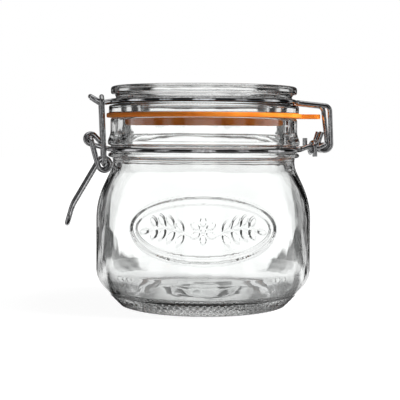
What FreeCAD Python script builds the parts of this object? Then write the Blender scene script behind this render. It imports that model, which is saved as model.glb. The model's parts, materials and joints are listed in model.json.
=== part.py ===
"""Clip-top glass jar of half a litre, closed, with an orange rubber ring under its glass lid.

Millimetres, +Z up, origin in the middle of the foot. The hinge is at +X and the latch at -X.
"""

import FreeCAD, Part
import math
import os

# Glass jar: radii from the axis, "out" from the neck, "down" from the rim
BODY_R = 52.4
RIM_Z = 91.4
WALL = 3.9
FOOT_R = 33.4
FOOT_BEND = 1.2
HEEL_R = 39.8
HEEL_H = 13.0
HEEL_LOW_BEND = 3.0
HEEL_BEND = 11.0
HEEL_IN_BEND = 13.0
SHOULDER_DOWN = 40.2
SHOULDER_BEND = 40.0
NECK_R = 44.5
NECK_DOWN = 23.6
NECK_BEND = 9.0
NECK_IN_BEND = 20.0
BEAD_OUT = 2.2
BEAD_DOWN = 19.4
BEAD_H = 2.7
GROOVE_OUT = 0.9
GROOVE_ROOM = 0.4
COLLAR_OUT = 2.4
COLLAR_H = 2.4
FINISH_OUT = 1.1
FINISH_H = 7.5
FINISH_BEND = 6.0
RIM_W = 6.1
RIM_BEND = 1.4
FLOOR_Z = 6.4
FLOOR_R = 21.0
FLOOR_RISE = 2.6
FLOOR_BEND = 30.0
PUNT_H = 3.6
PUNT_SLOPE_W = 11.0
PUNT_BEND = 8.0
LIP_SLOPE = 0.6
SOFT_EDGE = 1.2
CRISP_EDGE = 0.4

# Rubber ring with its pull tab
SEAL_OUT = 1.9
SEAL_T = 2.2
SEAL_EDGE = 0.6
SEAL_LIP_T = 1.4
SEAL_LIP_H = 3.9
TAB_OUT = 9.9
TAB_W = 13.0
TAB_BEND = 3.5

# Glass lid: its flanges against the jar's finish, heights from its seat on the rubber ring
PLUG_ROOM = 2.9
PLUG_WALL = 4.2
PLUG_H = 6.0
PLUG_GAP = 0.4
PLUG_BEND = 1.5
LOW_FLANGE_OUT = 0.8
LOW_FLANGE_H = 4.3
LID_GROOVE_IN = 2.6
LID_GROOVE_ROOM = 2.6
LID_WIRE_UP = 0.3
TOP_FLANGE_IN = 0.2
TOP_FLANGE_H = 3.8
LID_RIM_W = 7.0
LID_RIM_SLOPE = 1.5
LID_DISH = 1.5
LID_PLATE_T = 6.2
LID_UNDER_BEND = 2.5

# Spring wire
WIRE_D = 2.3
WIRE_GAP = 0.15
WIRE_BEND = 3.0
TIGHT_BEND = 1.7
END_PAST = 0.6
RING_SIDES = 12
KNOT_SIDES = 8
COIL_STEP = math.radians(46)

# Hinge: the neck wire's pin, out and up from the neck wire, and the hooks of the lid's wire on it
PIN_OUT = 12.9
PIN_UP = 2.8
PIN_ARM_Y = 8.0
ARM_BEND_IN = 3.6
HOOK_ROOM = 0.9
HOOK_SIDE_GAP = 1.7
HOOK_END_UP = 6.0
HOOK_END_IN = 1.5
LEG_SPREAD = 3.0
LEG_LEAN = 1.6
LEG_TOP_DOWN = 1.7
KNOT_OUT = 6.6
KNOT_UP = 1.2
KNOT_EXIT_UP = 0.8
KNOT_END_DOWN = 4.4
KNOT_END_UP = 4.6
KNOT_GAP = 0.9

# Latch: lever, its eyes, the loop, and the nose of the lid's wire that the loop pulls down
PIVOT_OUT = 8.4
PIVOT_UP = 4.8
CROSSBAR_OUT = 3.3
CROSSBAR_UP = 2.9
EYE_TUCK_IN = 1.38
EYE_TUCK_UP = 1.0
EYE_ROOM = 0.65
LOOP_Y = 12.5
LOOP_CORNER = 3.2
HANDLE_BEND_OUT = 11.5
HANDLE_BEND_DOWN = 19.8
HANDLE_BEND = 18.0
HANDLE_TIP_OUT = 14.0
HANDLE_TIP_DOWN = 28.5
HANDLE_CORNER = 7.0
NOSE_Y = 7.5
NOSE_BEND_OUT = 6.2
NOSE_BEND_DOWN = 1.0
NOSE_TIP_OUT = 11.0
NOSE_TIP_UP = 2.0
NOSE_CORNER = 5.5
NOSE_ROOM_IN = 0.4
NOSE_ROOM_UP = 0.5

# Worked out from the sizes above
FINISH_R = NECK_R + FINISH_OUT
MOUTH_R = FINISH_R - RIM_W
SEAL_R = FINISH_R + SEAL_OUT
SEAT_Z = RIM_Z + SEAL_T
PLUG_R = MOUTH_R - PLUG_ROOM
BEAD_R = NECK_R + BEAD_OUT
BEAD_Z = RIM_Z - BEAD_DOWN
GROOVE_R = NECK_R + GROOVE_OUT
GROOVE_Z = BEAD_Z + BEAD_H + GROOVE_ROOM + WIRE_D / 2
LID_GROOVE_R = FINISH_R - LID_GROOVE_IN
LID_GROOVE_Z = SEAT_Z + LOW_FLANGE_H
LID_GROOVE_H = WIRE_D + LID_GROOVE_ROOM
PITCH = WIRE_D + WIRE_GAP
NECK_WIRE_R = GROOVE_R + WIRE_GAP + WIRE_D / 2
LID_WIRE_R = LID_GROOVE_R + WIRE_GAP + WIRE_D / 2
LID_WIRE_Z = LID_GROOVE_Z + LID_WIRE_UP + WIRE_D / 2
PIN = (NECK_WIRE_R + PIN_OUT, GROOVE_Z + PIN_UP)
HOOK_BEND = WIRE_D + HOOK_ROOM
HOOK_Y = PIN_ARM_Y - WIRE_D - HOOK_SIDE_GAP
LEG_TOP = (PIN[0] + LEG_LEAN, LID_WIRE_Z - LEG_TOP_DOWN)
KNOT = (NECK_WIRE_R + KNOT_OUT, GROOVE_Z + KNOT_UP)
ARM_Y = LOOP_Y - PITCH
COIL_Y = ARM_Y - PITCH
PIVOT = (-NECK_WIRE_R - PIVOT_OUT, GROOVE_Z + PIVOT_UP)
CROSSBAR = (-NECK_WIRE_R - CROSSBAR_OUT, GROOVE_Z + CROSSBAR_UP)
EYE_BEND = WIRE_D + EYE_ROOM
EYE_R = EYE_BEND + WIRE_D / 2
EYE = (EYE_TUCK_IN - math.sqrt(BEAD_R ** 2 - COIL_Y ** 2) - EYE_R, BEAD_Z + EYE_TUCK_UP - EYE_R)
HANDLE = (-BODY_R - HANDLE_BEND_OUT, EYE[1] - HANDLE_BEND_DOWN)
HANDLE_TIP = (-BODY_R - HANDLE_TIP_OUT, EYE[1] - HANDLE_TIP_DOWN)
NOSE = (-LID_WIRE_R - NOSE_BEND_OUT, LID_WIRE_Z - NOSE_BEND_DOWN)
NOSE_TIP = (-LID_WIRE_R - NOSE_TIP_OUT, LID_WIRE_Z + NOSE_TIP_UP)
LOOP_TOP = (NOSE[0] + NOSE_ROOM_IN, NOSE[1] + WIRE_D + NOSE_ROOM_UP)


def corner(before, at, after, bend):
    """Start, middle and end of the arc that rounds a path's corner; the widest arc if bend is None."""
    back = (before - at).normalize()
    on = (after - at).normalize()
    half = (math.pi - back.getAngle(on)) / 2
    reach = min(before.distanceToPoint(at), after.distanceToPoint(at)) / 2
    if bend is not None:
        reach = min(reach, bend * math.tan(half))
    radius = reach / math.tan(half)
    inward = (back + on).normalize()
    return at + back * reach, at + inward * (radius / math.cos(half) - radius), at + on * reach


def path(points, closed=False):
    """Straight runs joined by tangent arcs; each point is x, y, z and the arc's radius there."""
    spots = [FreeCAD.Vector(*p[:3]) for p in points]
    count = len(points)
    arcs = {}
    for i in range(count) if closed else range(1, count - 1):
        if points[i][3] != 0:
            arcs[i] = corner(spots[i - 1], spots[i], spots[(i + 1) % count], points[i][3])
    edges = []
    for i in range(count):
        if i in arcs:
            edges.append(Part.Arc(*arcs[i]).toShape())
        if i + 1 < count or closed:
            after = (i + 1) % count
            start = arcs[i][2] if i in arcs else spots[i]
            end = arcs[after][0] if after in arcs else spots[after]
            if start.distanceToPoint(end) > 1e-5:
                edges.append(Part.LineSegment(start, end).toShape())
    return Part.Wire(edges)


def bent_wire(points):
    """Round spring wire along a path."""
    spine = path(points)
    start = FreeCAD.Vector(*points[0][:3])
    along = FreeCAD.Vector(*points[1][:3]) - start
    section = Part.Wire(Part.Circle(start, along, WIRE_D / 2).toShape())
    return spine.makePipeShell([section], True, False)


def turned(outline):
    """A solid of revolution about Z from radius, height and corner radius at each point."""
    face = Part.Face(path([(r, 0, z, bend) for r, z, bend in outline], closed=True))
    return face.revolve(FreeCAD.Vector(0, 0, 0), FreeCAD.Vector(0, 0, 1), 360)


def ring_points(radius, z, start_y, end_y, side):
    """Round the jar from +X to -X on one side, leaving the circle at start_y and end_y."""
    first = math.asin(start_y / radius)
    last = math.pi - math.asin(end_y / radius)
    step = (last - first) / RING_SIDES
    reach = radius / math.cos(step / 2)
    points = []
    for i in range(RING_SIDES + 1):
        angle = first + step * i
        bend = WIRE_BEND if i in (0, RING_SIDES) else None
        points.append((reach * math.cos(angle), side * reach * math.sin(angle), z, bend))
    return points


def coil_points(centre, radius, before, after, sense, y_before, y_after):
    """Turns round a Y axis, from the tangent through one (x, z) spot to the tangent through another."""
    start = tangent_angle(centre, radius, before, sense)
    end = tangent_angle(centre, radius, after, -sense)
    while (end - start) * sense <= 0:
        end += sense * 2 * math.pi
    count = math.ceil(abs(end - start) / COIL_STEP)
    step = (end - start) / count
    reach = radius / math.cos(step / 2)
    points = []
    for i in range(count):
        angle = start + step * (i + 0.5)
        y = y_before + (y_after - y_before) * (i + 0.5) / count
        points.append((centre[0] + reach * math.cos(angle), y, centre[1] + reach * math.sin(angle), None))
    return points


def tangent_angle(centre, radius, spot, sense):
    """Where round the circle the tangent from spot touches it."""
    across = spot[0] - centre[0]
    up = spot[1] - centre[1]
    return math.atan2(up, across) + sense * math.acos(radius / math.hypot(across, up))


def mirrored(points):
    """The same path on the other side of the XZ plane, run backwards."""
    return [(x, -y, z, bend) for x, y, z, bend in reversed(points)]


def jar_body():
    """Blown glass: heel, round shoulder, bead and collar with the wire's groove between, open mouth."""
    collar_r = NECK_R + COLLAR_OUT
    inside_r = BODY_R - WALL
    shoulder_z = RIM_Z - SHOULDER_DOWN
    neck_z = RIM_Z - NECK_DOWN
    bead_top = BEAD_Z + BEAD_H
    groove_top = GROOVE_Z + WIRE_D / 2 + GROOVE_ROOM
    finish_z = RIM_Z - FINISH_H
    outside = [
        (0, PUNT_H, 0),
        (FOOT_R - PUNT_SLOPE_W, PUNT_H, PUNT_BEND),
        (FOOT_R, 0, FOOT_BEND),
        (HEEL_R, 0, HEEL_LOW_BEND),
        (BODY_R, HEEL_H, HEEL_BEND),
        (BODY_R, shoulder_z, SHOULDER_BEND),
        (NECK_R, neck_z, NECK_BEND),
        (NECK_R, BEAD_Z, SOFT_EDGE),
        (BEAD_R, BEAD_Z + LIP_SLOPE, SOFT_EDGE),
        (BEAD_R, bead_top - LIP_SLOPE, SOFT_EDGE),
        (GROOVE_R, bead_top, CRISP_EDGE),
        (GROOVE_R, groove_top, CRISP_EDGE),
        (collar_r, groove_top + LIP_SLOPE, SOFT_EDGE),
        (collar_r, groove_top + COLLAR_H, SOFT_EDGE),
        (FINISH_R, finish_z, FINISH_BEND),
        (FINISH_R, RIM_Z, RIM_BEND),
        (MOUTH_R, RIM_Z, RIM_BEND),
    ]
    inside = [
        (MOUTH_R, finish_z, NECK_IN_BEND),
        (NECK_R - WALL, neck_z, NECK_BEND + WALL),
        (inside_r, shoulder_z, SHOULDER_BEND - WALL),
        (inside_r, FLOOR_Z, HEEL_IN_BEND),
        (FLOOR_R, FLOOR_Z, FLOOR_BEND),
        (0, FLOOR_Z + FLOOR_RISE, 0),
    ]
    return turned(outside + inside)


def lid():
    """Pressed glass: plug inside the rubber ring, low flange, wire groove and a top flange round a dish."""
    low_r = FINISH_R + LOW_FLANGE_OUT
    top_r = FINISH_R - TOP_FLANGE_IN
    plug_in = PLUG_R - PLUG_WALL
    groove_top = LID_GROOVE_Z + LID_GROOVE_H
    top = groove_top + TOP_FLANGE_H
    dish = top - LID_DISH
    under = dish - LID_PLATE_T
    return turned([
        (0, under, 0),
        (plug_in, under, LID_UNDER_BEND),
        (plug_in, SEAT_Z - PLUG_H, PLUG_BEND),
        (PLUG_R, SEAT_Z - PLUG_H, PLUG_BEND),
        (PLUG_R, SEAT_Z, CRISP_EDGE),
        (low_r, SEAT_Z, CRISP_EDGE),
        (low_r, LID_GROOVE_Z - LIP_SLOPE, SOFT_EDGE),
        (LID_GROOVE_R, LID_GROOVE_Z, SOFT_EDGE),
        (LID_GROOVE_R, groove_top - LIP_SLOPE, SOFT_EDGE),
        (top_r, groove_top, SOFT_EDGE),
        (top_r, top, RIM_BEND),
        (top_r - LID_RIM_W, top, RIM_BEND),
        (top_r - LID_RIM_W - LID_RIM_SLOPE, dish, RIM_BEND),
        (0, dish, 0),
    ])


def seal():
    """Rubber ring with one pull tab towards the hinge, and a lip that grips the lid's plug."""
    inner = PLUG_R + PLUG_GAP
    lip_r = inner + SEAL_LIP_T
    lip_z = RIM_Z - SEAL_LIP_H
    ring = turned([
        (inner, lip_z, SEAL_EDGE),
        (lip_r, lip_z, SEAL_EDGE),
        (lip_r, RIM_Z, 0),
        (SEAL_R, RIM_Z, SEAL_EDGE),
        (SEAL_R, SEAT_Z, SEAL_EDGE),
        (inner, SEAT_Z, 0),
    ])
    root = (lip_r + SEAL_R) / 2
    tab_end = SEAL_R + TAB_OUT
    outline = path([
        (root, -TAB_W / 2, RIM_Z, 0),
        (tab_end, -TAB_W / 2, RIM_Z, TAB_BEND),
        (tab_end, TAB_W / 2, RIM_Z, TAB_BEND),
        (root, TAB_W / 2, RIM_Z, 0),
    ], closed=True)
    tab = Part.Face(outline).extrude(FreeCAD.Vector(0, 0, SEAL_T))
    return ring.fuse(tab).removeSplitter().Solids[0]


def neck_ring():
    """One wire round the neck: a knot and a hinge pin at one end, two coils for the lever at the other."""
    knot_x, knot_z = KNOT
    knot_y = PIN_ARM_Y + PITCH
    step = 2 * math.pi / KNOT_SIDES
    reach = PITCH / math.cos(step / 2)
    knot = []
    for i in range(KNOT_SIDES):
        angle = math.pi - step * (i + 0.5)
        x = knot_x - PITCH * (i + 0.5) / KNOT_SIDES
        knot.append((x, reach * math.cos(angle) - PIN_ARM_Y, knot_z + reach * math.sin(angle), None))
    front = ring_points(NECK_WIRE_R, GROOVE_Z, knot_y, COIL_Y, -1)
    back = ring_points(NECK_WIRE_R, GROOVE_Z, PIN_ARM_Y, COIL_Y, -1)
    leaves = (front[-1][0], GROOVE_Z)
    latch = coil_points(PIVOT, PITCH, leaves, CROSSBAR, -1, -COIL_Y, -COIL_Y + PITCH)
    latch += [(CROSSBAR[0], -COIL_Y + PITCH, CROSSBAR[1], TIGHT_BEND)]
    arm = (PIN[0] - ARM_BEND_IN, -PIN_ARM_Y, knot_z, WIRE_BEND)
    pin = (PIN[0], -PIN_ARM_Y, PIN[1], WIRE_BEND)
    end_x = knot_x - PITCH - WIRE_D / 2 - KNOT_GAP
    return bent_wire(
        [(knot_x, -knot_y, knot_z - KNOT_END_DOWN, 0)]
        + knot
        + [(knot_x - PITCH, -knot_y, knot_z + KNOT_EXIT_UP, TIGHT_BEND)]
        + front
        + latch
        + mirrored(back + latch)
        + mirrored([pin, arm])
        + [pin, arm]
        + [(end_x, -PIN_ARM_Y, knot_z, TIGHT_BEND)]
        + [(end_x, -PIN_ARM_Y, knot_z + KNOT_END_UP, 0)]
    )


def lid_bail():
    """One wire in the lid's groove: two hooks round the hinge pin, and a raised nose at the latch."""
    end = (PIN[0] - HOOK_END_IN, PIN[1] + HOOK_END_UP)
    front = [(end[0], -HOOK_Y, end[1], 0)]
    front += coil_points(PIN, HOOK_BEND, end, LEG_TOP, 1, -HOOK_Y, -HOOK_Y)
    front += [(LEG_TOP[0], -HOOK_Y - LEG_SPREAD, LEG_TOP[1], WIRE_BEND)]
    front += ring_points(LID_WIRE_R, LID_WIRE_Z, HOOK_Y + LEG_SPREAD, NOSE_Y, -1)
    front += [(NOSE[0], -NOSE_Y, NOSE[1], WIRE_BEND)]
    front += [(NOSE_TIP[0], -NOSE_Y, NOSE_TIP[1], NOSE_CORNER)]
    return bent_wire(front + mirrored(front))


def latch_lever():
    """One wire: pivots in the neck ring's coils, an eye each side for the loop, and a U handle."""
    end_y = -COIL_Y + PITCH + WIRE_D / 2 + END_PAST
    front = [(PIVOT[0], end_y, PIVOT[1], 0)]
    front += [(PIVOT[0], -ARM_Y, PIVOT[1], TIGHT_BEND)]
    front += coil_points(EYE, EYE_BEND, PIVOT, HANDLE, 1, -ARM_Y, -COIL_Y)
    front += [(HANDLE[0], -COIL_Y, HANDLE[1], HANDLE_BEND)]
    front += [(HANDLE_TIP[0], -COIL_Y, HANDLE_TIP[1], HANDLE_CORNER)]
    return bent_wire(front + mirrored(front))


def latch_loop():
    """One wire: turned ends through the lever's eyes, two legs, and a crossbar over the lid wire's nose."""
    end_y = -COIL_Y + WIRE_D / 2 + END_PAST
    front = [(EYE[0], end_y, EYE[1], 0)]
    front += [(EYE[0], -LOOP_Y, EYE[1], TIGHT_BEND)]
    front += [(LOOP_TOP[0], -LOOP_Y, LOOP_TOP[1], LOOP_CORNER)]
    return bent_wire(front + mirrored(front))


os.makedirs("parts", exist_ok=True)
for make in (jar_body, neck_ring, lid, seal, lid_bail, latch_lever, latch_loop):
    shape = make()
    shape.exportStep(f"parts/{make.__name__}.step")
    print(make.__name__, round(shape.Volume / 1000, 3), "ml, valid", shape.isValid())
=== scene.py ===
# %% [markdown]
# # A clip-top glass jar
# The jar stands closed and empty: a blown glass body, a pressed glass lid, an orange rubber ring between
# them, and spring wire that hinges the lid behind and clamps it in front. The solids come from the packed
# model, in metres, with every piece in its final place. This lesson gives each of them its look, and
# remakes the glass body with the fine relief that a mould leaves on it.

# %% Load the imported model
import bpy
import json
import math
import numpy as np
from mathutils import Matrix, Vector

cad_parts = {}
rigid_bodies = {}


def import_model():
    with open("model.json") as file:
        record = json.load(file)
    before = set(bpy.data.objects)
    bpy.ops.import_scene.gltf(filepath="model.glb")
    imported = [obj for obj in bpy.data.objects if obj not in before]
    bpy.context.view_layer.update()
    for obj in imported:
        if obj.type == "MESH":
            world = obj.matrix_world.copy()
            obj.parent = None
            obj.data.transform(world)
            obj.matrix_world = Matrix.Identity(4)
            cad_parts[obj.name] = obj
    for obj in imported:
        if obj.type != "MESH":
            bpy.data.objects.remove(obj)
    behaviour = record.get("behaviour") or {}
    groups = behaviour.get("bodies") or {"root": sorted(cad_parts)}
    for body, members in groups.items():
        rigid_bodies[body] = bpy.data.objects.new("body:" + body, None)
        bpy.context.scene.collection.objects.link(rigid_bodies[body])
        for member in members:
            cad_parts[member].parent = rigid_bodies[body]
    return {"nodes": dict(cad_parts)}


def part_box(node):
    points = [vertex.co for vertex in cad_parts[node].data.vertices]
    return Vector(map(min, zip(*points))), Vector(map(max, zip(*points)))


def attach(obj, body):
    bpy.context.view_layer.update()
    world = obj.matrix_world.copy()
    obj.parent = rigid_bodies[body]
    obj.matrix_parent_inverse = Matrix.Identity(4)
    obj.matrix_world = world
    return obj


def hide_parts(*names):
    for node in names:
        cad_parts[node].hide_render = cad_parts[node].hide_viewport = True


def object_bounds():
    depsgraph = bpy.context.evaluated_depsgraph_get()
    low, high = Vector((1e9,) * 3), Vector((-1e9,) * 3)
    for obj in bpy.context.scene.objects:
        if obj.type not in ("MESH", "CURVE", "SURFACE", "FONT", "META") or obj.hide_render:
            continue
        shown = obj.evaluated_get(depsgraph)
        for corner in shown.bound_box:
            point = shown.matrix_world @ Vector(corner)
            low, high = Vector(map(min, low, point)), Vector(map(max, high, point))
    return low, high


for leftover in list(bpy.data.objects):
    bpy.data.objects.remove(leftover)
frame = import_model()
cad_low, cad_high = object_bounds()
print("nodes:", sorted(frame["nodes"]))
print("size in mm:", [round(1000 * side, 1) for side in cad_high - cad_low])

# %% [markdown]
# ## The sizes that the looks hang on
# The body's radius and the rim's height could be typed in again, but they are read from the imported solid,
# so that the remade glass fits the lid and the wires without any fitting by eye. FRONT is the direction
# round the axis that the mould's relief faces. Seen from there the latch is on the left.

# %% Sizes and the side that faces front
MM = 0.001
jar_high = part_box("jar_body")[1]
BODY_R = jar_high.x / MM
RIM_Z = jar_high.z / MM
FRONT = math.radians(-97.1)
print("body radius", round(BODY_R, 2), "rim height", round(RIM_Z, 2), "mm")

# %% [markdown]
# ## The section of the glass
# A jar is a solid of revolution, so half of its section says everything about its shape. The section could
# be a Bezier curve with handles, but corners with a rounding radius are how a mould is drawn, and they
# keep every size readable. Up the outside come the hollow under the foot, the chamfered heel, the
# shoulder, and on the neck a bead, a groove for the wire, a collar and the finish that carries the seal.

# %% Sizes of the section, in millimetres
WALL = 3.9
NECK_R = BODY_R - 7.9
MOUTH_R = NECK_R - 5.0
HOLLOW_R, HOLLOW_Z = 22.4, 3.6
FOOT_IN_R, HEEL_R, HEEL_TOP = 33.4, 39.8, 13
SHOULDER_Z, SHOULDER_BEND = RIM_Z - 40.2, 40
NECK_Z, NECK_BEND = RIM_Z - 23.6, 9
BEAD_Z, BEAD_OUT = RIM_Z - 19.4, 2.2
GROOVE_Z, GROOVE_OUT = RIM_Z - 16.7, 0.9
COLLAR_Z, COLLAR_OUT, COLLAR_H = RIM_Z - 13.0, 2.4, 1.8
FINISH_Z, FINISH_OUT = RIM_Z - 7.5, 1.1
STEP_H = 0.6
LIP_BEND = 1.4
RIM_MIDDLE_R = (NECK_R + FINISH_OUT + MOUTH_R) / 2
GLASS_FLOOR_R, GLASS_FLOOR_Z, GLASS_FLOOR_CENTRE_Z = 21, 6.4, 9
print("neck radius", round(NECK_R, 2), "mouth radius", round(MOUTH_R, 2), "mm")

# %% [markdown]
# Each corner is a radius, a height and the radius of the arc that rounds it. The outside runs from the
# middle of the hollow up to the middle of the rim, and the inside runs back down to the middle of the floor.

# %% Corners of the outside and the inside
OUTSIDE = [
    (0, HOLLOW_Z, 0), (HOLLOW_R, HOLLOW_Z, 8), (FOOT_IN_R, 0, 1.2), (HEEL_R, 0, 3), (BODY_R, HEEL_TOP, 11),
    (BODY_R, SHOULDER_Z, SHOULDER_BEND), (NECK_R, NECK_Z, NECK_BEND),
    (NECK_R, BEAD_Z, 1.2), (NECK_R + BEAD_OUT, BEAD_Z + STEP_H, 1.2),
    (NECK_R + BEAD_OUT, GROOVE_Z - STEP_H, 1.2), (NECK_R + GROOVE_OUT, GROOVE_Z, 0.4),
    (NECK_R + GROOVE_OUT, COLLAR_Z - STEP_H, 0.4), (NECK_R + COLLAR_OUT, COLLAR_Z, 1.2),
    (NECK_R + COLLAR_OUT, COLLAR_Z + COLLAR_H, 1.2), (NECK_R + FINISH_OUT, FINISH_Z, 6),
    (NECK_R + FINISH_OUT, RIM_Z, LIP_BEND), (RIM_MIDDLE_R, RIM_Z, 0),
]
INSIDE = [
    (RIM_MIDDLE_R, RIM_Z, 0), (MOUTH_R, RIM_Z, LIP_BEND), (MOUTH_R, FINISH_Z, 20),
    (NECK_R - WALL, NECK_Z, NECK_BEND + WALL), (BODY_R - WALL, SHOULDER_Z, SHOULDER_BEND - WALL),
    (BODY_R - WALL, GLASS_FLOOR_Z, 13), (GLASS_FLOOR_R, GLASS_FLOOR_Z, 30), (0, GLASS_FLOOR_CENTRE_Z, 0),
]
print("corners outside and inside:", len(OUTSIDE), len(INSIDE))

# %% [markdown]
# The corners become a row of points: straight runs are divided evenly, and each corner gives way to an
# arc that touches both of its runs. The room between points may differ from place to place, so that the
# mesh is fine only where detail needs it.

# %% Rounded outline as points
ARC_STEP = math.radians(15)


def traced(corners, gap):
    """Points along the outline, no further apart than gap(radius, height) gives for that place."""
    spots = [np.array(c[:2], float) for c in corners]
    points = [spots[0]]

    def straight_to(end):
        start = points[-1]
        count = max(1, math.ceil(np.linalg.norm(end - start) / gap(*(start + end) / 2) - 1e-6))
        points.extend(start + (end - start) * (i + 1) / count for i in range(count))

    bends = [c[2] for c in corners[1:-1]]
    for before, at, after, bend in zip(spots, spots[1:], spots[2:], bends):
        back = (before - at) / np.linalg.norm(before - at)
        on = (after - at) / np.linalg.norm(after - at)
        half = (math.pi - math.acos(float(np.clip(back @ on, -1, 1)))) / 2
        reach = min(bend * math.tan(half), np.linalg.norm(before - at) / 2, np.linalg.norm(after - at) / 2)
        radius = reach / math.tan(half)
        middle = at + (back + on) / np.linalg.norm(back + on) * radius / math.cos(half)
        straight_to(at + back * reach)
        first = at + back * reach - middle
        last = at + on * reach - middle
        steps = max(2, math.ceil(2 * half / ARC_STEP), math.ceil(2 * half * radius / gap(*at)))
        for share in np.linspace(0, 1, steps + 1)[1:]:
            ray = first * math.sin((1 - share) * 2 * half) + last * math.sin(share * 2 * half)
            points.append(middle + ray / math.sin(2 * half))
    straight_to(spots[-1])
    return np.array(points)


print("arcs turn at most", round(math.degrees(ARC_STEP)), "degrees a step")

# %% [markdown]
# ## The relief on the front
# Jars of this kind carry a mark in low relief. This one has a plain garden ornament: an oval frame of two
# raised lines, with a pair of leafy twigs and a flower inside. It could be carved with booleans, but glass
# from a mould has soft sides without any seam. So lines, leaves and petals are plateaus with steep sides,
# and each is described by how far a place lies inside its edge.

# %% How far a place lies inside a line or a leaf


def inside_line(here, points, half_width):
    """How far each place is inside a line of that half width."""
    nearest = np.full(len(here), np.inf)
    for start, end in zip(points, points[1:]):
        run = end - start
        share = np.clip((here - start) @ run / (run @ run), 0, 1)
        nearest = np.minimum(nearest, np.linalg.norm(here - start - share[:, None] * run, axis=1))
    return half_width - nearest


def toward(angle):
    """A step of length 1 in that direction."""
    return np.array([math.cos(angle), math.sin(angle)])


def inside_leaf(here, root, angle, length, width):
    """How far each place is inside a pointed leaf, the overlap of two discs."""
    along = toward(angle)
    across = np.array([-along[1], along[0]])
    radius = (length ** 2 / width + width) / 4
    middle = np.array(root) + along * length / 2
    centres = [middle + across * (radius - width / 2) * side for side in (-1, 1)]
    return radius - np.max([np.linalg.norm(here - c, axis=1) for c in centres], axis=0)


def oval(width, height):
    """Points round an ellipse."""
    turn = np.linspace(0, 2 * math.pi, 121)
    return np.stack([width * np.cos(turn), height * np.sin(turn)], 1)


print("helpers:", inside_line.__name__, toward.__name__, inside_leaf.__name__, oval.__name__)

# %% [markdown]
# The ornament is a list of marks. Each has its shape, the shape's own sizes and how far it stands out from
# the glass, all in millimetres on the unrolled front with the middle of the oval at zero.

# %% Frame and twigs
RELIEF_W, RELIEF_H = 35.3, 15.1
FRAME_HALF, FINE_HALF = 0.65, 0.35
FRAME_RISE, FINE_RISE, LEAF_RISE = 1.0, 0.75, 0.95
FRAME_GAP = 3.0
LEAF_PAIRS = ((2, 6.6), (5, 6.8), (8, 6.4), (11, 5.4))
LEAF_LEAN, LEAF_OFF, LEAF_W = 58, 0.7, 2.7
TIP_LEAN, TIP_L, TIP_W = -12, 5.2, 2.3
TWIG_POINTS = 15
TWIG_FROM, TWIG_L, TWIG_ARCH, TWIG_TURN, TWIG_DROP = 5.5, 19.5, 3.4, 2.6, 2.2
marks = [
    (inside_line, (oval(RELIEF_W, RELIEF_H), FRAME_HALF), FRAME_RISE),
    (inside_line, (oval(RELIEF_W - FRAME_GAP, RELIEF_H - FRAME_GAP), FINE_HALF), FINE_RISE),
]
for side in (-1, 1):
    share = np.linspace(0, 1, TWIG_POINTS)
    sideways = side * (TWIG_FROM + TWIG_L * share)
    twig = np.stack([sideways, TWIG_ARCH * np.sin(TWIG_TURN * share) - TWIG_DROP], 1)
    marks.append((inside_line, (twig, FINE_HALF), FINE_RISE))
    for place, length in LEAF_PAIRS:
        for lean in (LEAF_LEAN, -LEAF_LEAN):
            angle = math.radians(lean if side > 0 else 180 - lean)
            root = twig[place] + LEAF_OFF * toward(angle)
            marks.append((inside_leaf, (root, angle, length, LEAF_W), LEAF_RISE))
    angle = math.radians(TIP_LEAN if side > 0 else 180 - TIP_LEAN)
    marks.append((inside_leaf, (twig[-1], angle, TIP_L, TIP_W), LEAF_RISE))
print("marks in the frame and the twigs:", len(marks))

# %% [markdown]
# The flower sits between the two twigs. Its petals are the same leaf shape turned round the middle, which
# could be one drawing copied six times, and its heart is a line so short that it comes out as a round dot.

# %% Flower in the middle
PETALS = 6
PETAL_ROOT, PETAL_L, PETAL_W = 1.7, 4.6, 2.8
HEART_HALF, HEART_RISE = 1.1, 0.9
for petal in range(PETALS):
    angle = math.radians(90 + 360 / PETALS * petal)
    marks.append((inside_leaf, (PETAL_ROOT * toward(angle), angle, PETAL_L, PETAL_W), LEAF_RISE))
heart = np.array([(0, 0), (0.01, 0)])
marks.append((inside_line, (heart, HEART_HALF), HEART_RISE))
print("marks in all:", len(marks))

# %% [markdown]
# The height at a place is that of the tallest mark there. Adding the marks up would leave lumps where a
# leaf meets its twig. Each side rises along a soft step, as glass does when it leaves a mould.

# %% Height of the ornament
RELIEF_SIDE = 0.35


def relief(across, up):
    """Height of the ornament in millimetres at each place on the unrolled front."""
    here = np.stack([across, up], 1)
    height = np.zeros(len(here))
    for shape, sizes, rise in marks:
        slope = np.clip(shape(here, *sizes) / RELIEF_SIDE + 0.5, 0, 1)
        height = np.maximum(height, rise * slope * slope * (3 - 2 * slope))
    return height


print("height at the middle:", relief(np.zeros(1), np.zeros(1))[0], "mm")

# %% [markdown]
# ## The glass body
# Blender could spin the outline with its Screw modifier, but the front needs far closer rows and columns
# than the back, to carry the relief. So the mesh is laid out as a grid: the outline's points up,
# and angles round the axis, close together over the ornament and further apart elsewhere.

# %% Columns and rows of the grid
RELIEF_Z = 40.8
RELIEF_ROOM = 1.2
RELIEF_LOW, RELIEF_HIGH = RELIEF_Z - RELIEF_H - RELIEF_ROOM, RELIEF_Z + RELIEF_H + RELIEF_ROOM
KNURL_LOW, KNURL_HIGH, KNURL_IN_R = 0.5, 5.6, 36
FRONT_HALF = math.radians(40)
FINE_COLUMNS, COARSE_COLUMNS = 168, 276
ORNAMENT_GAP, HEEL_GAP, PLAIN_GAP, INSIDE_GAP = 0.56, 0.55, 3.0, 9.0
fine = np.linspace(-FRONT_HALF, FRONT_HALF, FINE_COLUMNS)
coarse = np.linspace(FRONT_HALF, 2 * math.pi - FRONT_HALF, COARSE_COLUMNS)[1:-1]
turns = FRONT + np.concatenate([fine, coarse])


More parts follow.
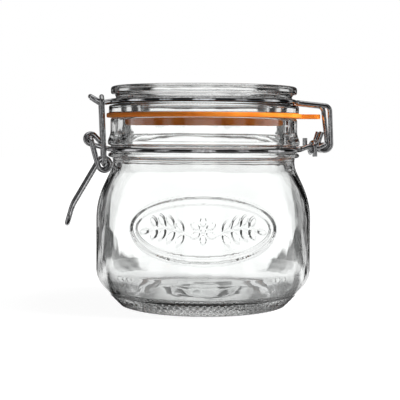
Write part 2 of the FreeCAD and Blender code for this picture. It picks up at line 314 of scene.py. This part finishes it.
def row_gap(radius, z):
    """Room between rows: close over the ornament and the knurled heel, wider elsewhere."""
    if RELIEF_LOW < z < RELIEF_HIGH:
        return ORNAMENT_GAP
    return HEEL_GAP if z < KNURL_HIGH and radius > KNURL_IN_R + 1 else PLAIN_GAP


outside = traced(OUTSIDE, row_gap)
inside = traced(INSIDE, lambda radius, z: INSIDE_GAP)
print("columns", len(turns), "rows", len(outside), "+", len(inside))

# %% [markdown]
# Each point of the outline becomes a ring of vertices. The ornament pushes the vertices of the front
# outwards, along the normal of the outline, so that it stands out evenly from the curved shoulder too.

# %% Rings of vertices, pushed out by the ornament


def normals(points):
    """Outward normal of the outline at each of its points."""
    along = np.gradient(points, axis=0)
    across = np.stack([along[:, 1], -along[:, 0]], 1)
    return across / np.linalg.norm(across, axis=1)[:, None]


def ring_grid(points, pushed=None):
    """Vertices of the outline turned round the axis, a row for each of its points."""
    radius = np.repeat(points[:, :1], len(turns), 1)
    height = np.repeat(points[:, 1:], len(turns), 1)
    if pushed is not None:
        out = normals(points)
        radius = radius + pushed * out[:, :1]
        height = height + pushed * out[:, 1:]
    return np.stack([radius * np.cos(turns), radius * np.sin(turns), height], 2) * MM


around = np.angle(np.exp(1j * (turns - FRONT)))
front_columns = np.abs(around) < FRONT_HALF
push = np.zeros((len(outside), len(turns)))
rows = np.where((outside[:, 1] > RELIEF_LOW) & (outside[:, 1] < RELIEF_HIGH))[0]
for row in rows:
    across = around[front_columns] * BODY_R
    push[row, front_columns] = relief(across, np.full(len(across), outside[row, 1] - RELIEF_Z))
print("highest relief", round(float(push.max()), 2), "mm")

# %% [markdown]
# The outside and the inside share their ring at the rim, and the first and last rings shrink to a point
# at the axis. So the glass is one closed skin, which refraction needs: light has to enter and leave it.

# %% Close the rings to a skin


def closed_grid(name, grids):
    """A mesh from rows of vertices one above another, with its first and last rows drawn to a point."""
    points = np.concatenate([g.reshape(-1, 3) for g in grids])
    columns = len(turns)
    count = len(points) // columns
    vertices = [tuple(points[0])] + [tuple(p) for p in points[columns:-columns]] + [tuple(points[-1])]
    last = len(vertices) - 1
    faces = []
    for column in range(columns):
        after = (column + 1) % columns
        faces.append((0, 1 + after, 1 + column))
        for row in range(count - 3):
            a = 1 + row * columns
            faces.append((a + column, a + after, a + columns + after, a + columns + column))
        a = 1 + (count - 3) * columns
        faces.append((a + column, a + after, last))
    mesh = bpy.data.meshes.new(name)
    mesh.from_pydata(vertices, [], faces)
    mesh.shade_smooth()
    piece = bpy.data.objects.new(name, mesh)
    bpy.context.scene.collection.objects.link(piece)
    return piece


smooth_jar = closed_grid("smooth_jar", [ring_grid(outside, push), ring_grid(inside[1:])])
print("smooth jar triangles:", sum(len(face.vertices) - 2 for face in smooth_jar.data.polygons))

# %% [markdown]
# ## The knurled heel
# A jar is set down on its foot while it is still hot, so the mould knurls the heel with rows of small
# bosses that keep it off the plate. Bosses laid on as separate pieces would show as lenses inside the
# glass, so the skin itself is moved. They repeat round the axis and follow the surface, which is work for
# Geometry Nodes: Set Position moves each vertex along its normal by a height worked out from the angle
# round the axis and the height above the foot.

# %% Helpers for nodes


def node(tree, kind, link_from=None, into=None, **settings):
    """Adds a node, sets its values, and links an output to its first input or to the one named."""
    made = tree.nodes.new(kind)
    for key, value in settings.items():
        setattr(made, key, value)
    if link_from is not None:
        tree.links.new(link_from, made.inputs[into or 0])
    return made


def maths(tree, operation, *values):
    """One step of arithmetic on links and numbers."""
    made = node(tree, "ShaderNodeMath", operation=operation)
    for socket, value in zip(made.inputs, values):
        if isinstance(value, (int, float)):
            socket.default_value = value
        else:
            tree.links.new(value, socket)
    return made.outputs[0]


print("helpers:", node.__name__, maths.__name__)

# %% [markdown]
# The tree's inputs are the sizes that someone may want to change: how many bosses go round, how high a row
# is, how far a boss rises, and between which heights they lie. All but the count are in metres.

# %% Inputs of the knurling
KNURLS = {"Count": 88.0, "Row": 0.0017, "Rise": 0.00045, "Low": KNURL_LOW * MM, "High": KNURL_HIGH * MM}
knurling = bpy.data.node_groups.new("Knurled heel", "GeometryNodeTree")
sockets = knurling.interface
sockets.new_socket("Geometry", in_out="INPUT", socket_type="NodeSocketGeometry")
for name in KNURLS:
    sockets.new_socket(name, in_out="INPUT", socket_type="NodeSocketFloat")
sockets.new_socket("Geometry", in_out="OUTPUT", socket_type="NodeSocketGeometry")
given = node(knurling, "NodeGroupInput").outputs
print("knurls round the heel:", int(KNURLS["Count"]))

# %% [markdown]
# One cosine runs round the axis and one runs up the heel. Where both are up or both are down their product
# is above zero, which sets each row of bosses half a step round from the next.

# %% Pattern of the bosses
position = node(knurling, "GeometryNodeInputPosition").outputs[0]
split = node(knurling, "ShaderNodeSeparateXYZ", position).outputs
angle = maths(knurling, "ARCTAN2", split["Y"], split["X"])
across = maths(knurling, "COSINE", maths(knurling, "MULTIPLY", angle, given["Count"]))
rows_up = maths(knurling, "DIVIDE", maths(knurling, "SUBTRACT", split["Z"], given["Low"]), given["Row"])
along = maths(knurling, "COSINE", maths(knurling, "MULTIPLY", rows_up, math.pi))
bosses = maths(knurling, "MAXIMUM", maths(knurling, "MULTIPLY", across, along), 0.0)
print("height of a row:", KNURLS["Row"] / MM, "mm")

# %% [markdown]
# The bosses stay between two heights, on the outside of the glass and outside the foot's hollow. The
# normal of the outside points away from the axis, so its dot product with the way out is above zero.

# %% Zone of the bosses
above = maths(knurling, "GREATER_THAN", split["Z"], given["Low"])
below = maths(knurling, "LESS_THAN", split["Z"], given["High"])
way_out = node(knurling, "ShaderNodeVectorMath", position, operation="MULTIPLY")
way_out.inputs[1].default_value = (1, 1, 0)
girth = node(knurling, "ShaderNodeVectorMath", way_out.outputs[0], operation="LENGTH").outputs["Value"]
normal = node(knurling, "GeometryNodeInputNormal").outputs[0]
outward = node(knurling, "ShaderNodeVectorMath", normal, operation="DOT_PRODUCT")
knurling.links.new(way_out.outputs[0], outward.inputs[1])
outer_side = maths(knurling, "GREATER_THAN", outward.outputs["Value"], 0.0)
past_hollow = maths(knurling, "GREATER_THAN", girth, KNURL_IN_R * MM)
zone = maths(knurling, "MULTIPLY", maths(knurling, "MULTIPLY", above, below),
             maths(knurling, "MULTIPLY", outer_side, past_hollow))
print("bosses from", KNURL_LOW, "to", KNURL_HIGH, "mm above the ground")

# %% [markdown]
# The tree ends by making everything real and giving it its material. The material is made here without
# any look, because the tree has to name it, and gets its look further down.

# %% Move the skin
lift = maths(knurling, "MULTIPLY", maths(knurling, "MULTIPLY", bosses, given["Rise"]), zone)
shift = node(knurling, "ShaderNodeVectorMath", normal, operation="SCALE")
knurling.links.new(lift, shift.inputs["Scale"])
moved = node(knurling, "GeometryNodeSetPosition", given["Geometry"])
knurling.links.new(shift.outputs[0], moved.inputs["Offset"])
whole = node(knurling, "GeometryNodeRealizeInstances", moved.outputs[0])
finished = node(knurling, "GeometryNodeSetMaterial", whole.outputs[0])
finished.inputs["Material"].default_value = bpy.data.materials.new("Blown glass")
knurling.links.new(finished.outputs[0], node(knurling, "NodeGroupOutput").inputs[0])
print("nodes in the tree:", len(knurling.nodes))

# %% [markdown]
# The modifier's inputs are set by the sockets' identifiers before anything evaluates it. Its result is
# copied to a plain mesh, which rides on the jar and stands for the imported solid.

# %% The finished glass body
maker = smooth_jar.modifiers.new("Knurled heel", "NODES")
maker.node_group = knurling
for socket in sockets.items_tree:
    if socket.in_out == "INPUT" and socket.name in KNURLS:
        maker[socket.identifier] = KNURLS[socket.name]
knurled_jar = smooth_jar.evaluated_get(bpy.context.evaluated_depsgraph_get())
glass_jar = bpy.data.objects.new("glass_jar", bpy.data.meshes.new_from_object(knurled_jar))
bpy.context.scene.collection.objects.link(glass_jar)
bpy.data.objects.remove(smooth_jar)
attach(glass_jar, "jar")
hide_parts("jar_body")
print("glass_jar triangles:", sum(len(face.vertices) - 2 for face in glass_jar.data.polygons))

# %% [markdown]
# ## Materials
# Each finish could be built by hand in the shader editor. Here a few helpers start each one with a
# Principled shader and add its patterns, so that a finish is a few lines. Patterns use Object
# coordinates, which stay with the piece when it moves.

# %% Helpers for node trees


def new_material(name, **settings):
    """A material, made or found by name, with a Principled shader whose constant sockets are set here."""
    material = bpy.data.materials.get(name) or bpy.data.materials.new(name)
    material.use_nodes = True
    shader = material.node_tree.nodes["Principled BSDF"]
    for socket, value in settings.items():
        shader.inputs[socket.replace("_", " ")].default_value = value
    return material, shader


def noise(tree, scale, detail=2.0, stretch=(1, 1, 1)):
    """Noise on Object coordinates, in features per metre."""
    place = node(tree, "ShaderNodeTexCoord")
    fit = node(tree, "ShaderNodeMapping", place.outputs["Object"], "Vector")
    fit.inputs["Scale"].default_value = stretch
    texture = node(tree, "ShaderNodeTexNoise", fit.outputs["Vector"], "Vector")
    texture.inputs["Scale"].default_value = scale
    texture.inputs["Detail"].default_value = detail
    return texture.outputs["Fac"]


def ramp(tree, value, stops):
    """Colours or greys along a value."""
    made = node(tree, "ShaderNodeValToRGB", value)
    while len(made.color_ramp.elements) < len(stops):
        made.color_ramp.elements.new(0.5)
    for element, (place, colour) in zip(made.color_ramp.elements, stops):
        element.position = place
        element.color = (*colour, 1)
    return made.outputs["Color"]


def bump(tree, shader, height, depth):
    """Small relief from a height, with its depth in metres."""
    made = node(tree, "ShaderNodeBump", height, "Height")
    made.inputs["Distance"].default_value = depth
    tree.links.new(made.outputs["Normal"], shader.inputs["Normal"])


print("helpers:", new_material.__name__, noise.__name__, ramp.__name__, bump.__name__)

# %% [markdown]
# ### Glass
# Pressed and blown glass is clear but never quite even: its surface waves slightly, which breaks up the
# reflections. A Glass shader would do for one colour, but the Principled shader with full transmission
# also travels to other programs. Its index of refraction is glass's own, 1.5. Layer Weight paints a
# shade into the colour where the surface is seen edge on: a painted dark grey edge, which stands in for
# the dark surroundings that such edges bend into view.

# %% Glass for the body and the lid
CLEAR = (0.985, 0.995, 0.99)
# The grey below is painted shade, which the glass's colour takes where it is seen edge on.
PAINTED_EDGE_SHADE = 0.04


def clear_glass(name, waves):
    """Clear glass with slow waves of that depth, and a painted dark grey shade where it is seen edge on."""
    material, shader = new_material(name, Roughness=0.0, IOR=1.5, Transmission_Weight=1.0)
    tree = material.node_tree
    facing = node(tree, "ShaderNodeLayerWeight").outputs["Facing"]
    # Painted shade: the colour turns dark grey where the surface is seen edge on.
    edge_shade = ramp(tree, facing, [(0.6, CLEAR), (0.82, (PAINTED_EDGE_SHADE + 0.25,) * 3), (1.0, (PAINTED_EDGE_SHADE,) * 3)])
    tree.links.new(edge_shade, shader.inputs["Base Color"])
    bump(tree, shader, noise(tree, 60, 2.0, (1, 1, 0.5)), waves)
    return material


blown_glass = clear_glass("Blown glass", 0.0004)
pressed_glass = clear_glass("Pressed glass", 0.00015)
print(blown_glass.name, "and", pressed_glass.name)

# %% [markdown]
# ### Spring wire
# The wire is drawn through a die and plated. It could be a plain mirror, but real plating has fine
# scratches and dull spots in between, so one noise drives its grey, its roughness and a faint bump.

# %% Plated wire
wire, wire_shader = new_material("Bright plated wire", Metallic=1.0)
tree = wire.node_tree
streaks = noise(tree, 900, 4.0)
plating = ramp(tree, streaks, [(0.3, (0.26, 0.26, 0.265)), (0.7, (0.6, 0.6, 0.61))])
polish = ramp(tree, streaks, [(0.3, (0.1,) * 3), (0.7, (0.03,) * 3)])
tree.links.new(plating, wire_shader.inputs["Base Color"])
tree.links.new(polish, wire_shader.inputs["Roughness"])
bump(tree, wire_shader, streaks, 0.00002)
print(wire.name)

# %% [markdown]
# ### Rubber
# The ring is natural rubber coloured orange. One flat colour would look like paint, so slow noise marbles
# it, fine noise gives it a satin grain, and a little light passes below its surface.

# %% Orange rubber
rubber, rubber_shader = new_material(
    "Orange rubber", Roughness=0.5, Specular_IOR_Level=0.25, Subsurface_Weight=0.15, Subsurface_Scale=0.002)
tree = rubber.node_tree
tone = ramp(tree, noise(tree, 140, 3.0), [(0.25, (0.76, 0.18, 0.012)), (0.75, (0.9, 0.28, 0.03))])
tree.links.new(tone, rubber_shader.inputs["Base Color"])
bump(tree, rubber_shader, noise(tree, 2500, 2.0), 0.00004)
print(rubber.name)

# %% [markdown]
# The lid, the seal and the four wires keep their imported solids, whose shapes are right. Each only gets its
# finish in its first material slot.

# %% Put the finishes on the pieces
FINISHES = {"lid": pressed_glass, "seal": rubber, "neck_ring": wire, "lid_bail": wire,
            "latch_lever": wire, "latch_loop": wire}
for name, finish in FINISHES.items():
    frame["nodes"][name].material_slots[0].material = finish
    print(name, "->", finish.name)

# %% [markdown]
# ## The studio
# Clear glass has no colour of its own. It is drawn by what it bends into view, so a photographer sets it
# before a white ground with dark panels either side, which turn its edges dark. The panels could be
# planes round the jar, but then they would also block the lamps. So the world does it: plain white to
# the camera, and to mirrored and bent rays white with dark upright panels. A ray that has met a matt
# surface on its way sees only the even ambient light, so the panels don't change the rubber's colour.

# %% Helpers for the studio


def either_of(tree, *names):
    """1 for a ray of any of the named kinds that has met no matt surface on its way."""
    path = node(tree, "ShaderNodeLightPath")
    total = path.outputs[names[0]]
    for name in names[1:]:
        total = maths(tree, "MAXIMUM", total, path.outputs[name])
    return maths(tree, "MULTIPLY", total, maths(tree, "LESS_THAN", path.outputs["Diffuse Depth"], 0.5))


def mixed(tree, factor, first, second):
    """A blend of two colours, each a link or a grey."""
    made = node(tree, "ShaderNodeMix", data_type="RGBA")
    tree.links.new(factor, made.inputs["Factor"])
    for name, value in (("A", first), ("B", second)):
        if isinstance(value, (int, float)):
            made.inputs[name].default_value = (value, value, value, 1)
        else:
            tree.links.new(value, made.inputs[name])
    return made.outputs["Result"]


def stepped(tree, value, low, high):
    """0 below low, 1 above high, and even in between."""
    made = node(tree, "ShaderNodeMapRange", value)
    made.inputs["From Min"].default_value = low
    made.inputs["From Max"].default_value = high
    return made.outputs[0]


def greys(tree, value, stops):
    """Greys along a value."""
    return ramp(tree, value, [(place, (grey,) * 3) for place, grey in stops])


print("helpers:", either_of.__name__, mixed.__name__, stepped.__name__, greys.__name__)

# %% [markdown]
# The windows repeat four times round the jar, so a cosine of four times the direction places them. It is
# high in the middle of a wide window and low in the middle of the dim one between two panels. Mirrored
# rays see the wide windows narrower than bent rays do, which keeps the streaks on the wire sharp.

# %% Windows and panels round the jar
PANEL_DARK = 0.004
WINDOWS = 4.0
BENT_STOPS = [(0.0, 0.7), (0.03, 0.7), (0.08, PANEL_DARK), (0.5, PANEL_DARK), (0.6, 1.0)]
MIRRORED_STOPS = [(0.0, 0.5), (0.03, 0.5), (0.08, PANEL_DARK), (0.78, PANEL_DARK), (0.88, 1.0)]


def windows(tree, across, along):
    """White windows between dark panels, by the direction round the jar."""
    azimuth = maths(tree, "ARCTAN2", along, across)
    turned = maths(tree, "SUBTRACT", azimuth, FRONT + math.pi)
    swing = maths(tree, "COSINE", maths(tree, "MULTIPLY", turned, WINDOWS))
    share = maths(tree, "MULTIPLY_ADD", swing, 0.5, 0.5)
    bent = greys(tree, share, BENT_STOPS)
    mirrored = greys(tree, share, MIRRORED_STOPS)
    path = node(tree, "ShaderNodeLightPath").outputs
    mirror = maths(tree, "SUBTRACT", path["Is Glossy Ray"], path["Is Transmission Ray"])
    return mixed(tree, maths(tree, "MAXIMUM", mirror, 0.0), bent, mirrored)


print("wide windows:", int(WINDOWS))

# %% [markdown]
# The world puts the windows at the height of the jar, a dark band above them, and a white ceiling over
# all, which the lid and the tops of the wires mirror.

# %% World
AMBIENT = 0.09
WALLS_TO, BAND_FROM = 0.25, 0.45
CEILING_STOPS = [(0.42, 0.1), (0.72, 0.1), (0.85, 1)]
SEEN_KINDS = ("Is Camera Ray", "Is Glossy Ray", "Is Transmission Ray")
world = bpy.data.worlds.new("Studio")
bpy.context.scene.world = world
world.use_nodes = True
tree = world.node_tree
place = node(tree, "ShaderNodeTexCoord")
split = node(tree, "ShaderNodeSeparateXYZ", place.outputs["Generated"])
up = split.outputs["Z"]
ceiling = greys(tree, up, CEILING_STOPS)
walls = windows(tree, split.outputs["X"], split.outputs["Y"])
studio = mixed(tree, stepped(tree, up, WALLS_TO, BAND_FROM), walls, ceiling)
seen = mixed(tree, either_of(tree, "Is Camera Ray"), studio, 1.0)
light = mixed(tree, either_of(tree, *SEEN_KINDS), AMBIENT, seen)
tree.links.new(light, tree.nodes["Background"].inputs["Color"])
print("ambient light:", AMBIENT)

# %% [markdown]
# ### Floor
# The floor is a wide round sheet of white paper. A plain one would turn grey where the lamps fade. So what
# the camera sees of it is mostly a plain white, with a share of the real shading near the jar, where its
# shadow falls.

# %% Sheet of paper
FLOOR_R = 3.0
FLOOR_SIDES = 64
FLOOR_CLEARANCE = 0.0002
ring = [(FLOOR_R * math.cos(a), FLOOR_R * math.sin(a), 0)
        for a in np.linspace(0, 2 * math.pi, FLOOR_SIDES + 1)[:-1]]
floor_mesh = bpy.data.meshes.new("floor")
floor_mesh.from_pydata(ring, [], [tuple(range(FLOOR_SIDES))])
floor = bpy.data.objects.new("floor", floor_mesh)
bpy.context.scene.collection.objects.link(floor)
floor.location.z = cad_low.z - FLOOR_CLEARANCE
print("floor radius:", FLOOR_R, "m")

# %% [markdown]
# What glass and wire see of the floor is white behind the jar and dark close to it in front and at the
# sides, as if a dark card lay there. That draws the heel and the lines of the ornament. Further out the
# floor carries on the world's windows and panels.

# %% What the glass and the wire see of the floor
UNDER_WHITE_R, CARD_IN_R, CARD_OUT_R = 0.022, 0.027, 0.085
CARD_FADE = 0.06
BEHIND_FROM, BEHIND_FULL = 0.1, 0.25
paper, paper_shader = new_material("White paper", Base_Color=(0.9, 0.9, 0.9, 1), Roughness=0.9)
tree = paper.node_tree
place = node(tree, "ShaderNodeTexCoord").outputs["Object"]
split = node(tree, "ShaderNodeSeparateXYZ", place)
distance = node(tree, "ShaderNodeVectorMath", place, operation="LENGTH").outputs["Value"]
walls = windows(tree, split.outputs["X"], split.outputs["Y"])
back = node(tree, "ShaderNodeVectorMath", place, operation="DOT_PRODUCT")
back.inputs[1].default_value = (-math.cos(FRONT), -math.sin(FRONT), 0)
backness = maths(tree, "DIVIDE", back.outputs["Value"], distance)
behind = stepped(tree, backness, BEHIND_FROM, BEHIND_FULL)
under = greys(tree, distance, [(0.0, 1), (UNDER_WHITE_R, 1), (CARD_IN_R, PANEL_DARK)])
near = mixed(tree, behind, under, 1.0)
panels = mixed(tree, stepped(tree, distance, CARD_OUT_R, CARD_OUT_R + CARD_FADE), near, walls)
print("dark card out to", CARD_OUT_R, "m")

# %% [markdown]
# The plain light and the paper's own shading are mixed: a fifth of the shading near the jar, and none
# further out. The plain light is a little over white, to make up for the share that the shadow takes. Light
# that bounces between matt surfaces meets the paper alone, so the floor still lights the jar evenly.

# %% Join what is seen with the paper's own shading
SHADOW_SHARE = 0.2
SHADOW_FULL_R, SHADOW_END_R = 0.08, 0.3
WHITE = 1.18
ground = node(tree, "ShaderNodeEmission", mixed(tree, either_of(tree, "Is Camera Ray"), panels, 1.0))
ground.inputs["Strength"].default_value = WHITE
far = stepped(tree, distance, SHADOW_FULL_R, SHADOW_END_R)
lifted = node(tree, "ShaderNodeMixShader", maths(tree, "MULTIPLY_ADD", far, SHADOW_SHARE, 1 - SHADOW_SHARE))
tree.links.new(paper_shader.outputs[0], lifted.inputs[1])
tree.links.new(ground.outputs[0], lifted.inputs[2])
pick = node(tree, "ShaderNodeMixShader", either_of(tree, *SEEN_KINDS))
tree.links.new(paper_shader.outputs[0], pick.inputs[1])
tree.links.new(lifted.outputs[0], pick.inputs[2])
tree.links.new(pick.outputs[0], tree.nodes["Material Output"].inputs["Surface"])
floor_mesh.materials.append(paper)
print("share of the floor's own shading near the jar:", SHADOW_SHARE)

# %% [markdown]
# ### Lamps
# Two soft lamps stand on the right, one low and one high, so that the rubber is bright there and falls
# into shade on the left. Mirrored and bent rays don't see them, because a square of light in the glass
# would look like a label.

# %% Two soft lamps
AIM = Vector((0, 0, 0.05))


def soft_lamp(name, place, size, power):
    """A square lamp that faces the jar."""
    data = bpy.data.lights.new(name, "AREA")
    data.size = size
    data.energy = power
    lamp = bpy.data.objects.new(name, data)
    bpy.context.scene.collection.objects.link(lamp)
    lamp.location = place
    lamp.visible_glossy = False
    lamp.visible_transmission = False
    lamp.rotation_euler = (AIM - Vector(place)).to_track_quat("-Z", "Y").to_euler()


soft_lamp("key", (0.9, -0.3, 0.5), 0.5, 17)
soft_lamp("top", (0.5, -0.1, 1.0), 0.7, 4)

# %% [markdown]
# ### Camera
# It stands about half a metre away, in front of the ornament and just below the height of the rim, and
# looks slightly down, so that the rim is seen nearly edge on and the foot from above. Many bounces are
# allowed, because light crosses up to eight skins of glass on its way through body and lid.

# %% Camera
CAMERA_AWAY = 0.52
CAMERA_UP = 0.0838
DOWN = math.radians(3.58)
PAN = math.radians(0.181)
ROLL = math.radians(0.34)
LENS = 95.3
GLASS_BOUNCES, MIRROR_BOUNCES = 24, 8
camera_data = bpy.data.cameras.new("Camera")
camera_data.lens = LENS
camera = bpy.data.objects.new("Camera", camera_data)
bpy.context.scene.collection.objects.link(camera)
camera.location = (CAMERA_AWAY * math.cos(FRONT), CAMERA_AWAY * math.sin(FRONT), CAMERA_UP)
level = Matrix.Rotation(FRONT + math.pi / 2 + PAN, 3, "Z") @ Matrix.Rotation(math.pi / 2 - DOWN, 3, "X")
camera.rotation_euler = (level @ Matrix.Rotation(ROLL, 3, "Z")).to_euler()
bpy.context.scene.camera = camera
scene = bpy.context.scene
scene.view_settings.view_transform = "Standard"
scene.cycles.max_bounces = GLASS_BOUNCES
scene.cycles.transmission_bounces = GLASS_BOUNCES
scene.cycles.glossy_bounces = MIRROR_BOUNCES
print("camera at", [round(v, 3) for v in camera.location])
